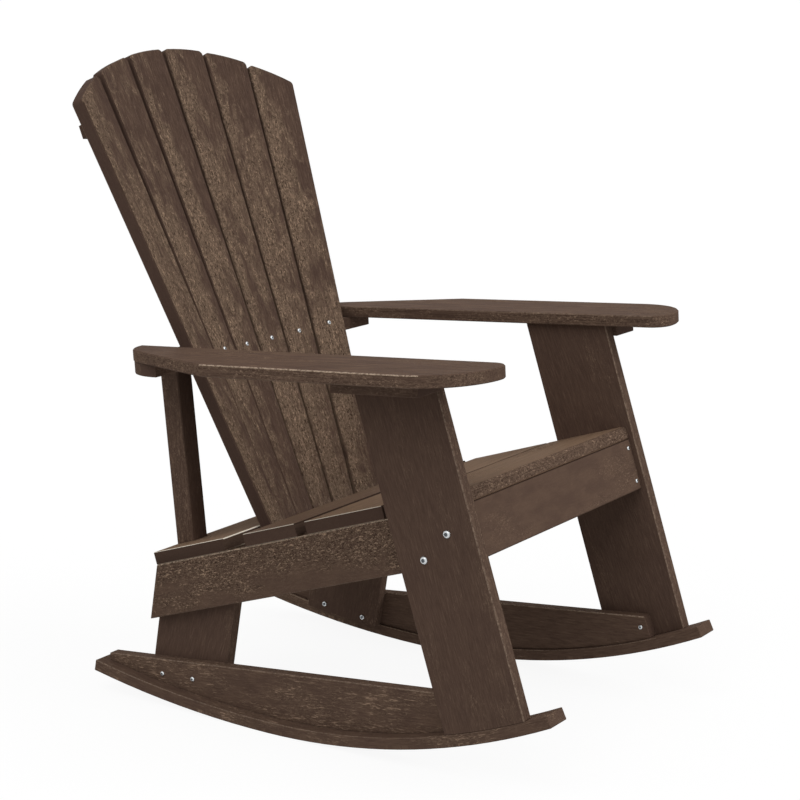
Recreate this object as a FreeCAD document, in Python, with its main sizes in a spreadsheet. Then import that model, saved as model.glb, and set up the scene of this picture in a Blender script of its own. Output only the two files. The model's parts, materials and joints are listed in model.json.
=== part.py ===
import FreeCAD, Part
import Sketcher
import math
import os
import re

# Rocking adirondack chair in recycled plastic lumber, in millimetres.
# Frame: +Z up, +X to the sitter's left, the sitter looks along -Y.
# The origin is on the floor, under the middle of the chair's outline.

doc = FreeCAD.newDocument("RockingChair")
sheet = doc.addObject("Spreadsheet::Sheet", "Sizes")

# Each driving size: its name, its value and what it is.
DRIVING_SIZES = (
    ("board", 22, "thickness of every board"),
    ("edge_ease", 1.8, "eased edge of every board"),
    ("fit_gap", 0.3, "clearance where fitted or curved faces meet"),
    ("seat_slope", 17.85, "seat falls to the rear by this angle"),
    ("seat_front_y", -330.5, "front face of the seat frame, at the rails' top"),
    ("seat_front_z", 443.8, "height of the rails' top edge at that face"),
    ("seat_half_width", 261, "centre to the outer face of a side rail"),
    ("front_slat", 159, "width of the front seat slat"),
    ("front_slat_gap", 3, "gap behind the front seat slat"),
    ("wide_slat", 159, "width of the second seat slat"),
    ("wide_slat_gap", 20, "gap behind the second seat slat"),
    ("narrow_slat", 112, "width of the third seat slat"),
    ("narrow_slat_gap", 43, "gap behind it, where the back goes down"),
    ("rear_slat", 159, "width of the rear seat board, which holds the back"),
    ("nose_round", 9, "round of the front seat slat's nose"),
    ("rail_depth", 89, "depth of the side rails"),
    ("apron_depth", 89, "depth of the front apron"),
    ("rear_lean", 9.75, "lean of the rear legs, foot to the rear"),
    ("leg_width", 152.5, "width of the front legs"),
    ("leg_ahead", 10.5, "front legs stand this far ahead of the apron"),
    ("rear_leg_width", 156, "width of the rear legs"),
    ("rear_leg_drop", 4, "rear leg tops lie this far below the rails' top"),
    ("rocker_y", 43.5, "place of the lowest point of the runners"),
    ("front_radius", 1240, "radius of the runners' underside ahead of that point"),
    ("rear_radius", 2000, "radius of the runners' underside behind it"),
    ("tread", 20, "thickness of the bent runner tread"),
    ("tread_width", 49, "width of the runner tread"),
    ("tread_inset", 5, "tread reaches this far inside the side rail's inner face"),
    ("tread_front", 25.576, "angle of the arc ahead of the lowest point"),
    ("tread_rear", 10.936, "angle of the arc behind the lowest point"),
    ("runner_high", 138.8, "height of the runner board's top at its front end"),
    ("runner_tilt", 5.2, "runner board's top rises to the front by this angle"),
    ("runner_front", 20.973, "angle of the runner board's front end on the arc"),
    ("runner_tail_y", 405, "rear end of the runner board"),
    ("arm_front_y", -397, "front tip of the arms"),
    ("arm_front_z", 664.5, "height of the arms' top at the tip"),
    ("arm_tilt", 3.68, "arms fall to the rear by this angle"),
    ("arm_board", 20, "thickness of the arms"),
    ("arm_lap", 14, "arms reach this far inside the legs' inner face"),
    ("arm_width", 142, "width of the arms"),
    ("arm_straight", 486, "length of the arm's parallel front part"),
    ("arm_tail", 41, "width of the arm at its rear end"),
    ("arm_nose_share", 0.775, "round of the outer front corner, as a share of the arm's width"),
    ("arm_lap_share", 0.215, "round of the inner front corner, as such a share"),
    ("arm_tail_share", 0.9536, "share of the rear edge that the outer rear corner's round takes"),
    ("bracket_width", 62, "width of the arm bracket outside the leg"),
    ("bracket_back", 108, "arm bracket starts this far behind the tip"),
    ("bracket_length", 160, "length of the arm bracket"),
    ("arm_reach", 45, "arms reach this far behind the back's front face"),
    ("cross_reach", 58.8, "the cross rail reaches this far behind that face"),
    ("cross_depth", 92, "depth of the cross rail under the arms' rear ends"),
    ("cross_lap", 61, "cross rail reaches this far under each arm"),
    ("cross_share", 0.95, "round of the cross rail's rear corners, as a share of its depth"),
    ("post_side", 38, "side of the square back posts"),
    ("post_inset", 63, "back posts stand this far inside the side rails' outer face"),
    ("post_lean", 5.6, "lean of the back posts, top to the rear"),
    ("back_y", 161, "front face of the back at its middle, at back_z"),
    ("back_z", 325, "height where back_y is measured"),
    ("back_lean", 21.95, "lean of the back"),
    ("back_rise", 832.4, "crown of the back, along the slats from back_z"),
    ("back_drop", 66, "slats go down this far below back_z, along them"),
    ("back_bow", 4.02, "the back curves forward by this times the slat edge squared"),
    ("slat_pitch", 55.1, "pitch of the back slats at back_z"),
    ("slat_fan", 0.0575, "growth of that pitch with the way up the slats"),
    ("slat_gap", 5, "gap between the back slats at back_z"),
    ("slat_gap_growth", 0.0025, "growth of that gap with the way up the slats"),
    ("crown_radius", 513, "radius of the crown over the slats"),
    ("crown_corner", 9, "round of each slat's top corners"),
    ("brace_rise", 690, "underside of the upper brace, along the slats"),
    ("brace_depth", 26, "depth of the upper brace"),
    ("brace_half", 258, "half length of the upper brace"),
    ("brace_share", 0.33, "round of its corners, as a share of its depth"),
    ("bolt_radius", 4, "radius of the through bolts"),
    ("bolt_head", 7.5, "radius of their button heads"),
    ("bolt_head_rise", 3.6, "height of their button heads"),
    ("nut_radius", 7.5, "half the width of the bolts' nuts over the corners"),
    ("nut_height", 6, "height of the bolts' nuts"),
    ("leg_bolt_back", 39, "upper leg bolt, behind the seat's front face"),
    ("leg_bolt_down", 38.6, "upper leg bolt, below the rails' top"),
    ("leg_bolt_step", 54, "lower leg bolt stands this much further back"),
    ("leg_bolt_drop", 33, "and this much further down"),
    ("runner_bolt_radius", 3, "radius of the bolts between runner and rear leg"),
    ("runner_bolt_head", 5, "radius of their heads"),
    ("runner_nut_radius", 5.5, "half the width of their nuts over the corners"),
    ("runner_nut_height", 3, "height of their nuts"),
    ("runner_bolt_y", 286, "rear one of these bolts"),
    ("runner_bolt_z", 50, "its height"),
    ("left_bolt_step", 87, "the left front one is this much further to the front"),
    ("left_bolt_fall", 11, "and this much lower"),
    ("right_bolt_step", 66.5, "the right front one is this much further to the front"),
    ("right_bolt_fall", -3, "and this much lower"),
    ("screw_radius", 2.4, "radius of the screws"),
    ("screw_head", 4.6, "radius of their heads"),
    ("screw_head_rise", 2, "height of their heads"),
    ("runner_screw_y", -373, "screw from the runner board into the front leg"),
    ("runner_screw_z", 117, "its height"),
    ("runner_screw_length", 36, "its length"),
    ("apron_screw_margin", 15.5, "apron screws lie this far from its edges"),
    ("apron_screw_length", 50, "length of the apron screws"),
    ("back_screw_rise", 289, "row of screws into the cross rail, along the slats"),
    ("back_screw_length", 36, "length of the screws through the slats"),
    ("hole_gap", 0.2, "radial clearance round bolts and screws"),
)

for row, (alias, value, note) in enumerate(DRIVING_SIZES, start=1):
    sheet.set("A%d" % row, alias)
    sheet.set("B%d" % row, str(value))
    sheet.set("C%d" % row, note)
    sheet.setAlias("B%d" % row, alias)
doc.recompute()

ALIAS_WORD = re.compile(r"\b(%s)\b" % "|".join(row[0] for row in DRIVING_SIZES))


def rule(text):
    """An expression in which each size's name points at its cell."""
    return ALIAS_WORD.sub(r"Sizes.\1", str(text))


def number(text):
    """The present value of such an expression."""
    value = doc.getObject("Sizes").evalExpression(ALIAS_WORD.sub(r"\1", str(text)))
    return float(getattr(value, "Value", value))


def vector(a, b):
    return FreeCAD.Vector(a, b, 0)


def placement(x=0, y=0, z=0, yaw=0, pitch=0, roll=0):
    """A placement expression: a place, then the turns about Z, Y and X."""
    text = "placement(vector(%s; %s; %s); rotation(%s; %s; %s))"
    return rule(text % (x, y, z, yaw, pitch, roll))


# The three slopes that the boards lie in: the seat's, the arms' and the back's.
SEAT = placement(0, "seat_front_y", "seat_front_z", roll="-seat_slope")
ARMS = placement(0, "arm_front_y", "arm_front_z", roll="-arm_tilt")
BACK = placement(0, "back_y", "back_z", roll="-back_lean")
SIDES = (("left", 1), ("right", -1))
ARM_INNER = "(seat_half_width - arm_lap)"
TO_BACK = ("(back_y - arm_front_y + (arm_front_z - back_z) * tan(back_lean))"
           " / (cos(arm_tilt) + sin(arm_tilt) * tan(back_lean))")
ARM_LENGTH = "(%s + arm_reach)" % TO_BACK
CROSS_END = "(%s + cross_reach)" % TO_BACK
CROSS_HALF = "(%s + cross_lap)" % ARM_INNER


def seat_point(back, up):
    """(y, z) of a point in the seat's slope, from the top front of the seat frame."""
    y = "(seat_front_y + (%s) * cos(seat_slope) + (%s) * sin(seat_slope))" % (back, up)
    z = "(seat_front_z - (%s) * sin(seat_slope) + (%s) * cos(seat_slope))" % (back, up)
    return y, z


def arm_point(back, up):
    """(y, z) of a point in the arms' slope, from their top at the tip."""
    y = "(arm_front_y + (%s) * cos(arm_tilt) + (%s) * sin(arm_tilt))" % (back, up)
    z = "(arm_front_z - (%s) * sin(arm_tilt) + (%s) * cos(arm_tilt))" % (back, up)
    return y, z


def new_body(label, place=None):
    body = doc.addObject("PartDesign::Body", label)
    body.Label = label
    if place:
        body.setExpression("Placement", place)
    return body


def new_sketch(body, role, name, raised=None):
    """A sketch on one of the body's own planes, or raised from it."""
    sketch = body.newObject("Sketcher::SketchObject", name)
    base = next(item for item in body.Origin.OriginFeatures if item.Role == role)
    sketch.AttachmentSupport = (base, [""])
    sketch.MapMode = "FlatFace"
    if raised is not None:
        sketch.setExpression(".AttachmentOffset.Base.z", rule(raised))
    return sketch


def constrain(sketch, kind, where, text):
    """A dimension that follows an expression."""
    value = number(text)
    if kind == "Angle":
        value = math.radians(value)
        text = "(%s) * 1 deg" % text
    index = sketch.addConstraint(Sketcher.Constraint(kind, *where, value))
    sketch.setExpression("Constraints[%d]" % index, rule(text))


def pin_point(sketch, geometry, point, spot):
    constrain(sketch, "DistanceX", (geometry, point), spot[0])
    constrain(sketch, "DistanceY", (geometry, point), spot[1])


def line(spot, angle):
    """An endless line through a spot, at an angle from the sketch's first axis."""
    return {"spot": spot, "angle": angle}


def arc(centre, radius, side):
    """A circle's arc. Where a line cuts it twice, side 1 takes the upper cut and -1 the lower."""
    return {"spot": centre, "radius": radius, "side": side}


def meeting(first, second):
    """The point where two edges of an outline cross, or where two arcs touch."""
    if "radius" in first:
        first, second = second, first
    if "radius" in first:
        small, large = sorted((first, second), key=lambda edge: number(edge["radius"]))
        near, far = (vector(*(number(part) for part in edge["spot"])) for edge in (small, large))
        return near + (near - far).normalize() * number(small["radius"])
    angle = math.radians(number(first["angle"]))
    along = vector(math.cos(angle), math.sin(angle))
    start = vector(*(number(part) for part in first["spot"]))
    other = vector(*(number(part) for part in second["spot"]))
    if "radius" not in second:
        turn = math.radians(number(second["angle"]))
        gap = other - start
        far = (gap.x * math.sin(turn) - gap.y * math.cos(turn)) / math.sin(turn - angle)
        return start + along * far
    middle = (other - start).dot(along)
    foot = start + along * middle
    half = math.sqrt(number(second["radius"]) ** 2 - (foot - other).Length ** 2)
    ends = (foot - along * half, foot + along * half)
    return max(ends, key=lambda end: end.y * second["side"])


def draw_outline(sketch, edges):
    """A closed outline of lines and arcs, each fixed by its own dimensions."""
    count = len(edges)
    corners = [meeting(edges[i - 1], edges[i]) for i in range(count)]
    ends = []
    for i, edge in enumerate(edges):
        start, end = corners[i], corners[(i + 1) % count]
        if "radius" in edge:
            centre = vector(*(number(part) for part in edge["spot"]))
            circle = Part.Circle(centre, FreeCAD.Vector(0, 0, 1), number(edge["radius"]))
            first = math.atan2(start.y - centre.y, start.x - centre.x)
            last = math.atan2(end.y - centre.y, end.x - centre.x)
            forward = (last - first) % (2 * math.pi) < math.pi
            span = (first, last) if forward else (last, first)
            index = sketch.addGeometry(Part.ArcOfCircle(circle, *span), False)
            ends.append((index, 1, 2) if forward else (index, 2, 1))
        else:
            index = sketch.addGeometry(Part.LineSegment(start, end), False)
            ends.append((index, 1, 2))
    for i in range(count):
        here, after = ends[i], ends[(i + 1) % count]
        sketch.addConstraint(Sketcher.Constraint("Coincident", here[0], here[2], after[0], after[1]))
    for i, edge in enumerate(edges):
        index = ends[i][0]
        if "radius" in edge:
            # An arc that touches the one before it does so straight below its centre.
            loose = "radius" in edges[i - 1]
            level = ("DistanceX", ends[i][1], 0) if loose else ("DistanceY", 3, 1)
            constrain(sketch, "DistanceX", (index, 3), edge["spot"][0])
            constrain(sketch, level[0], (index, level[1]), edge["spot"][level[2]])
            constrain(sketch, "Radius", (index,), edge["radius"])
            continue
        spot = vector(*(number(part) for part in edge["spot"]))
        anchor = sketch.addGeometry(Part.Point(FreeCAD.Vector(spot)), True)
        pin_point(sketch, anchor, 1, edge["spot"])
        sketch.addConstraint(Sketcher.Constraint("PointOnObject", anchor, 1, index))
        run = corners[(i + 1) % count] - corners[i]
        angle = math.radians(number(edge["angle"]))
        ahead = run.x * math.cos(angle) + run.y * math.sin(angle) > 0
        turned = edge["angle"] if ahead else "%s - 180" % edge["angle"]
        constrain(sketch, "Angle", (index,), turned)


def draw_polygon(sketch, points):
    """A closed polygon with each corner fixed by its two coordinates."""
    count = len(points)
    places = [vector(number(a), number(b)) for a, b in points]
    for i in range(count):
        sketch.addGeometry(Part.LineSegment(places[i], places[(i + 1) % count]), False)
    for i in range(count):
        sketch.addConstraint(Sketcher.Constraint("Coincident", i, 2, (i + 1) % count, 1))
    for i, point in enumerate(points):
        pin_point(sketch, i, 1, point)


def pad(body, sketch, length):
    feature = body.newObject("PartDesign::Pad", "Pad")
    feature.Profile = sketch
    feature.setExpression("Length", rule(length))
    body.Tip = feature
    doc.recompute()
    return feature


def dress_edges(body, kind, wanted, value_name, value):
    before = body.Tip
    names = ["Edge%d" % i for i, edge in enumerate(before.Shape.Edges, start=1) if wanted(edge)]
    feature = body.newObject(kind, "Edges")
    feature.Base = (before, names)
    feature.setExpression(value_name, rule(value))
    body.Tip = feature
    doc.recompute()


def ease_edges(body, wanted):
    """Takes the sharpness off the edges that a test picks out."""
    dress_edges(body, "PartDesign::Chamfer", wanted, "Size", "edge_ease")


def round_edges(body, wanted, radius):
    dress_edges(body, "PartDesign::Fillet", wanted, "Radius", radius)


def runs_along(direction, least=60):
    """A test for long edges that run in one direction."""
    unit = FreeCAD.Vector(*direction).normalize()

    def wanted(edge):
        if edge.Length < least or not isinstance(edge.Curve, Part.Line):
            return False
        start, end = edge.Vertexes[0].Point, edge.Vertexes[-1].Point
        return abs((end - start).normalize().dot(unit)) > 0.999
    return wanted


def stands_at(*spots):
    """A test for upright edges over the given spots of the sketch."""
    places = [vector(number(a), number(b)) for a, b in spots]

    def wanted(edge):
        low, high = edge.Vertexes[0].Point, edge.Vertexes[-1].Point
        upright = math.hypot(high.x - low.x, high.y - low.y) < 0.01 < abs(high.z - low.z)
        return upright and any(math.hypot(low.x - p.x, low.y - p.y) < 0.5 for p in places)
    return wanted


def stands_on_end(edge):
    """A test for every upright edge of a board that lies flat."""
    return edge.BoundBox.ZLength > 1 and edge.BoundBox.XLength + edge.BoundBox.YLength < 0.01


def lies_flat(edge):
    """A test for the edges round the top and the bottom of a board that lies flat."""
    return edge.BoundBox.ZLength < 0.01


def cross_edges(edge):
    """A test for the edges that run straight across the chair."""
    start, end = edge.Vertexes[0].Point, edge.Vertexes[-1].Point
    return edge.Length > 60 and abs(end.y - start.y) + abs(end.z - start.z) < 0.01


# What is made, by node name.
pieces = {}


def side_boards(stem, inner, thickness, edges, eased=None):
    """A board drawn in the chair's side view, once for each side."""
    for side, sign in SIDES:
        name = "%s_%s" % (side, stem)
        x = inner if sign > 0 else "-(%s) - (%s)" % (inner, thickness)
        body = new_body(name, placement(x))
        sketch = new_sketch(body, "YZ_Plane", "SideView")
        draw_outline(sketch, edges)
        pad(body, sketch, thickness)
        if eased:
            angle = math.radians(number(eased))
            ease_edges(body, runs_along((0, math.cos(angle), math.sin(angle))))
        pieces[name] = body


def flat_board(name, frame, sides, ends, low, thickness):
    """A rectangular board in one of the three slopes."""
    body = new_body(name, frame + " * " + placement(0, 0, low))
    sketch = new_sketch(body, "XY_Plane", "Plan")
    corners = [(sides[0], ends[0]), (sides[1], ends[0]), (sides[1], ends[1]), (sides[0], ends[1])]
    draw_polygon(sketch, corners)
    pad(body, sketch, thickness)
    pieces[name] = body
    return body


def cut_with(name, tool):
    """Takes a tool out of a piece, which keeps its name."""
    blank = pieces[name]
    blank.Label = name + "_blank"
    piece = doc.addObject("Part::Cut", name + "_cut")
    piece.Base = blank
    piece.Tool = tool
    piece.Label = name
    pieces[name] = piece


# Runners: a bent tread under an upright runner board. Their underside is two arcs that
# touch at the lowest point, straight below the centre of mass.
FRONT_HUB = ("rocker_y", "front_radius")
REAR_HUB = ("rocker_y", "rear_radius")
ON_TREAD_FRONT = arc(FRONT_HUB, "front_radius - tread - fit_gap", -1)
ON_TREAD_REAR = arc(REAR_HUB, "rear_radius - tread - fit_gap", -1)
RAIL_INNER = "(seat_half_width - board)"

side_boards("runner_tread", RAIL_INNER + " - tread_inset", "tread_width", [
    arc(FRONT_HUB, "front_radius", -1),
    arc(REAR_HUB, "rear_radius", -1),
    line(REAR_HUB, "270 + tread_rear"),
    arc(REAR_HUB, "rear_radius - tread", -1),
    arc(FRONT_HUB, "front_radius - tread", -1),
    line(FRONT_HUB, "270 - tread_front"),
])

RUNNER_NOSE_Y = "(rocker_y - front_radius * sin(runner_front))"
side_boards("runner_board", RAIL_INNER, "board", [
    line((RUNNER_NOSE_Y, "runner_high"), "-runner_tilt"),
    line(("runner_tail_y", 0), "90"),
    ON_TREAD_REAR,
    ON_TREAD_FRONT,
    line(FRONT_HUB, "270 - runner_front"),
], eased="-runner_tilt")

# Seat frame: side rails between the legs, with an apron across their front ends.
WIDE_FROM = "(front_slat + front_slat_gap)"
NARROW_FROM = "(%s + wide_slat + wide_slat_gap)" % WIDE_FROM
REAR_FROM = "(%s + narrow_slat + narrow_slat_gap)" % NARROW_FROM
SEAT_END = "(%s + rear_slat)" % REAR_FROM
REAR_CUT = line(seat_point(SEAT_END, 0), "90 + rear_lean")

side_boards("side_rail", RAIL_INNER, "board", [
    line(seat_point(0, 0), "-seat_slope"),
    REAR_CUT,
    line(seat_point(0, "-rail_depth"), "-seat_slope"),
    line(seat_point("board", 0), "90 - seat_slope"),
], eased="-seat_slope")

side_boards("front_leg", "seat_half_width", "board", [
    line(seat_point("-leg_ahead", 0), "90 - seat_slope"),
    line(arm_point(0, "-arm_board"), "-arm_tilt"),
    line(seat_point("leg_width - leg_ahead", 0), "90 - seat_slope"),
    ON_TREAD_FRONT,
], eased="90 - seat_slope")

rail_end_y, rail_end_z = seat_point(SEAT_END, 0)
side_boards("rear_leg", RAIL_INNER + " - board", "board", [
    REAR_CUT,
    line(seat_point(0, "-rear_leg_drop"), "-seat_slope"),
    line((rail_end_y + " - rear_leg_width / cos(rear_lean)", rail_end_z), "90 + rear_lean"),
    ON_TREAD_REAR,
], eased="90 + rear_lean")

BETWEEN_LEGS = ("-seat_half_width + fit_gap", "seat_half_width - fit_gap")
apron = flat_board("front_apron", SEAT, BETWEEN_LEGS, (0, "board"), "-apron_depth", "apron_depth")
ease_edges(apron, cross_edges)

# Seat: three slats and the rear board, which the back slats lean on.
SEAT_WIDTH = ("-seat_half_width", "seat_half_width")
front_slat = flat_board("front_seat_slat", SEAT, BETWEEN_LEGS, (0, "front_slat"), 0, "board")


def nose_edge(edge):
    corner = edge.Vertexes[0].Point
    return cross_edges(edge) and corner.y < 1 and corner.z > number("board") / 2


def other_cross_edge(edge):
    return cross_edges(edge) and not nose_edge(edge)


ease_edges(front_slat, other_cross_edge)
round_edges(front_slat, nose_edge, "nose_round")
SEAT_SLATS = (
    ("wide_seat_slat", WIDE_FROM, "wide_slat"),
    ("narrow_seat_slat", NARROW_FROM, "narrow_slat"),
    ("rear_seat_board", REAR_FROM, "rear_slat"),
)
for name, start, width in SEAT_SLATS:
    slat = flat_board(name, SEAT, SEAT_WIDTH, (start, "%s + %s" % (start, width)), 0, "board")
    ease_edges(slat, cross_edges)

# Arms, their brackets on the legs and the cross rail under their rear ends.
# What the arms lie on is one board thick.
UNDER_ARM = "-(arm_board + board)"
FLARE = "(atan2(%s - arm_straight; arm_width - arm_tail) / 1 deg)" % ARM_LENGTH
for side, sign in SIDES:
    name = side + "_arm"
    arm = new_body(name, ARMS + " * " + placement(0, 0, "-arm_board"))
    plan = new_sketch(arm, "XY_Plane", "Plan")
    inner = "%d * %s" % (sign, ARM_INNER)
    outer = "%d * (%s + arm_width)" % (sign, ARM_INNER)
    tail = "%d * (%s + arm_tail)" % (sign, ARM_INNER)
    draw_outline(plan, [
        line((inner, 0), "90"),
        line((0, ARM_LENGTH), "0"),
        line((tail, ARM_LENGTH), "180 - " + FLARE if sign > 0 else FLARE),
        line((outer, 0), "90"),
        line((0, 0), "0"),
    ])
    pad(arm, plan, "arm_board")
    round_edges(arm, stands_at((outer, 0)), "arm_nose_share * arm_width")
    round_edges(arm, stands_at((inner, 0)), "arm_lap_share * arm_width")
    round_edges(arm, stands_at((tail, ARM_LENGTH)), "arm_tail_share * arm_tail / tan(%s / 2)" % FLARE)
    ease_edges(arm, lies_flat)
    pieces[name] = arm

    foot = "%d * (seat_half_width + board)" % sign
    side_face = "%s + %d * bracket_width" % (foot, sign)
    flat_board(side + "_arm_bracket", ARMS, (foot, side_face),
               ("bracket_back", "bracket_back + bracket_length"), UNDER_ARM, "board")

CROSS_ENDS = ("-" + CROSS_HALF, CROSS_HALF)
cross = flat_board("cross_rail", ARMS, CROSS_ENDS, (CROSS_END + " - cross_depth", CROSS_END),
                   UNDER_ARM, "board")
cross_corners = stands_at(*((x, CROSS_END) for x in CROSS_ENDS))
round_edges(cross, cross_corners, "cross_share * cross_depth")

# Back posts, from the rear seat board up to the cross rail.
post_y, post_z = seat_point(SEAT_END, "board")
side_boards("back_post", "seat_half_width - post_inset - post_side", "post_side", [
    line((post_y, post_z), "90 - post_lean"),
    line(arm_point(0, UNDER_ARM), "-arm_tilt"),
    line((post_y + " - post_side / cos(post_lean)", post_z), "90 - post_lean"),
    line(seat_point(0, "board"), "-seat_slope"),
], eased="90 - post_lean")


# The back: six flat tapered slats that fan out and stand in a shallow curve.
SLATS = range(3)


def slat_pitch_at(rise):
    return "(slat_pitch + slat_fan * (%s))" % rise


def slat_turn(slat):
    """How far a slat, counted from the middle, is turned towards the sitter."""
    return "atan(back_bow * %d / %s)" % (2 * slat + 1, slat_pitch_at("back_rise / 2"))


def slat_tilt(slat):
    """How far its middle line leans outwards."""
    return "atan(slat_fan * %s)" % (slat + 0.5)


def slat_half(slat):
    """Half its width at back_z."""
    return "((slat_pitch * cos(%s) / cos(%s) - slat_gap) / 2)" % (slat_tilt(slat), slat_turn(slat))


def slat_flare(slat):
    """The angle between its middle line and its long edges."""
    growth = "slat_fan * cos(%s) ^ 2 / cos(%s)" % (slat_tilt(slat), slat_turn(slat))
    return "(atan((%s - slat_gap_growth) / 2) / 1 deg)" % growth


def slat_place(slat, sign):
    """The slat's own frame: its front face is the XZ plane and its middle line is Z."""
    across = "%d * slat_pitch * %s" % (sign, slat + 0.5)
    forward = "-back_bow * %s" % ((slat ** 2 + (slat + 1) ** 2) / 2)
    lean = placement(across, forward, 0, pitch="%d * %s" % (sign, slat_tilt(slat)))
    return BACK + " * " + lean + " * " + placement(yaw="%d * %s" % (-sign, slat_turn(slat)))


def slat_top_corner(edge):
    """A test for the two short edges over a slat's top corners."""
    start, end = edge.Vertexes[0].Point, edge.Vertexes[-1].Point
    high = min(start.z, end.z) > number("back_rise") / 2
    return high and abs(end.y - start.y) > number("board") / 2


def lies_in_face(edge):
    """A test for the edges round a slat's front and rear faces."""
    return edge.BoundBox.YLength < 0.01


for side, sign in SIDES:
    for slat in SLATS:
        name = "%s_back_slat_%d" % (side, slat + 1)
        body = new_body(name, slat_place(slat, sign))
        front = new_sketch(body, "XZ_Plane", "FrontView")
        half, flare, tilt = slat_half(slat), slat_flare(slat), slat_tilt(slat)
        middle = "slat_pitch * %s" % (slat + 0.5)
        low = "(back_rise - crown_radius)"
        hub_across = "%d * (%s * cos(%s) + %s * sin(%s))" % (-sign, middle, tilt, low, tilt)
        hub_up = "%s * cos(%s) - %s * sin(%s)" % (low, tilt, middle, tilt)
        draw_outline(front, [
            arc((hub_across, hub_up), "crown_radius", 1),
            line((half, 0), "90 - %s" % flare),
            line((0, "-back_drop"), "0"),
            line(("-" + half, 0), "90 + %s" % flare),
        ])
        pad(body, front, "board").Reversed = True
        doc.recompute()
        round_edges(body, slat_top_corner, "crown_corner")
        ease_edges(body, lies_in_face)
        pieces[name] = body


def back_curve(rise):
    """Centre and radius of the curve behind the slats, through the outer slats' rear corners."""
    outer, turn = SLATS[-1], slat_turn(SLATS[-1])
    half = "(%s + (%s) * tan(%s))" % (slat_half(outer), rise, slat_flare(outer))
    reach = "(%s * %s" % (outer + 0.5, slat_pitch_at(rise))
    reach += " + %s * cos(%s) + board * sin(%s))" % (half, turn, turn)
    middle = (outer ** 2 + (outer + 1) ** 2) / 2
    sag = "(%s * back_bow + %s * sin(%s) + board - board * cos(%s))" % (middle, half, turn, turn)
    radius = "((%s ^ 2 + %s ^ 2) / (2 * %s))" % (reach, sag, sag)
    return "(board + fit_gap - %s)" % radius, radius


def curve_cutter(name, rise, reach=80):
    """A round of the back's curve, upright in the back's slope."""
    centre, radius = back_curve(rise)
    cutter = doc.addObject("Part::Cylinder", name)
    cutter.setExpression("Radius", rule(radius))
    cutter.setExpression("Height", rule(2 * reach))
    cutter.setExpression("Placement", BACK + " * " + placement(0, centre, "%s - %d" % (rise, reach)))
    return cutter


def rise_at(z):
    """The way up the slats to some height."""
    return "((%s - back_z) / cos(back_lean))" % z


SEAT_RISE = rise_at("(seat_front_z + board - (back_y - seat_front_y) * tan(seat_slope))")
CROSS_RISE = rise_at("(arm_front_z - arm_board - (back_y - arm_front_y) * tan(arm_tilt))")
cut_with("rear_seat_board", curve_cutter("SeatCurve", SEAT_RISE))
cut_with("cross_rail", curve_cutter("CrossCurve", CROSS_RISE))

brace = new_body("upper_brace", BACK + " * " + placement(0, 0, "brace_rise"))
brace_plan = new_sketch(brace, "XY_Plane", "Plan")
brace_centre, brace_radius = back_curve("brace_rise + board")
draw_outline(brace_plan, [
    arc((0, brace_centre), brace_radius, 1),
    line(("brace_half", 0), "90"),
    arc((0, brace_centre), brace_radius + " + brace_depth", 1),
    line(("-brace_half", 0), "90"),
])
pad(brace, brace_plan, "board")
pieces["upper_brace"] = brace
round_edges(brace, stands_on_end, "brace_share * brace_depth")


# Bolts and screws, each a shank along +Z with its round head behind the placement.
# The shanks and their holes are hidden, so eight sides do for them.
def solid_along_z(kind, name, place, radius_name, radius, length):
    solid = doc.addObject(kind, name)
    solid.setExpression(radius_name, rule(radius))
    solid.setExpression("Height", rule(length))
    solid.setExpression("Placement", place)
    return solid


def prism(name, place, radius, length, faces=8):
    solid = solid_along_z("Part::Prism", name, place, "Circumradius", radius, length)
    solid.Polygon = faces
    return solid


def fastener(place, radius, length, head, rise):
    whole = doc.addObject("Part::Fuse", "Fastener")
    behind = place + " * " + placement(z="-(%s)" % rise)
    whole.Base = prism("Shank", place, radius, length)
    whole.Tool = solid_along_z("Part::Cylinder", "Head", behind, "Radius", head, rise)
    return whole


def hole(place, radius, length):
    """The space that a shank needs, open at the head."""
    behind = place + " * " + placement(z=-1)
    return prism("Hole", behind, radius + " + hole_gap", "%s + 2" % length)


def group(name, members):
    """Several separate solids in one node."""
    whole = doc.addObject("Part::Compound", name)
    whole.Links = members
    whole.Label = name
    pieces[name] = whole


# What has to be drilled: node name to the spaces that its fasteners need.
drilled = {}


def fasten(name, spots, radius, length, head, rise):
    """One group of like fasteners; each spot also names the boards that it goes through."""
    members = []
    for spot, boards in spots:
        members.append(fastener(spot, radius, length, head, rise))
        for board_name in boards:
            drilled.setdefault(board_name, []).append(hole(spot, radius, length))
    group(name, members)


def from_side(x, spot, direction):
    """A placement at a point of the side view, with its +Z to one side."""
    return placement(x, spot[0], spot[1], pitch=90 * direction)


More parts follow.
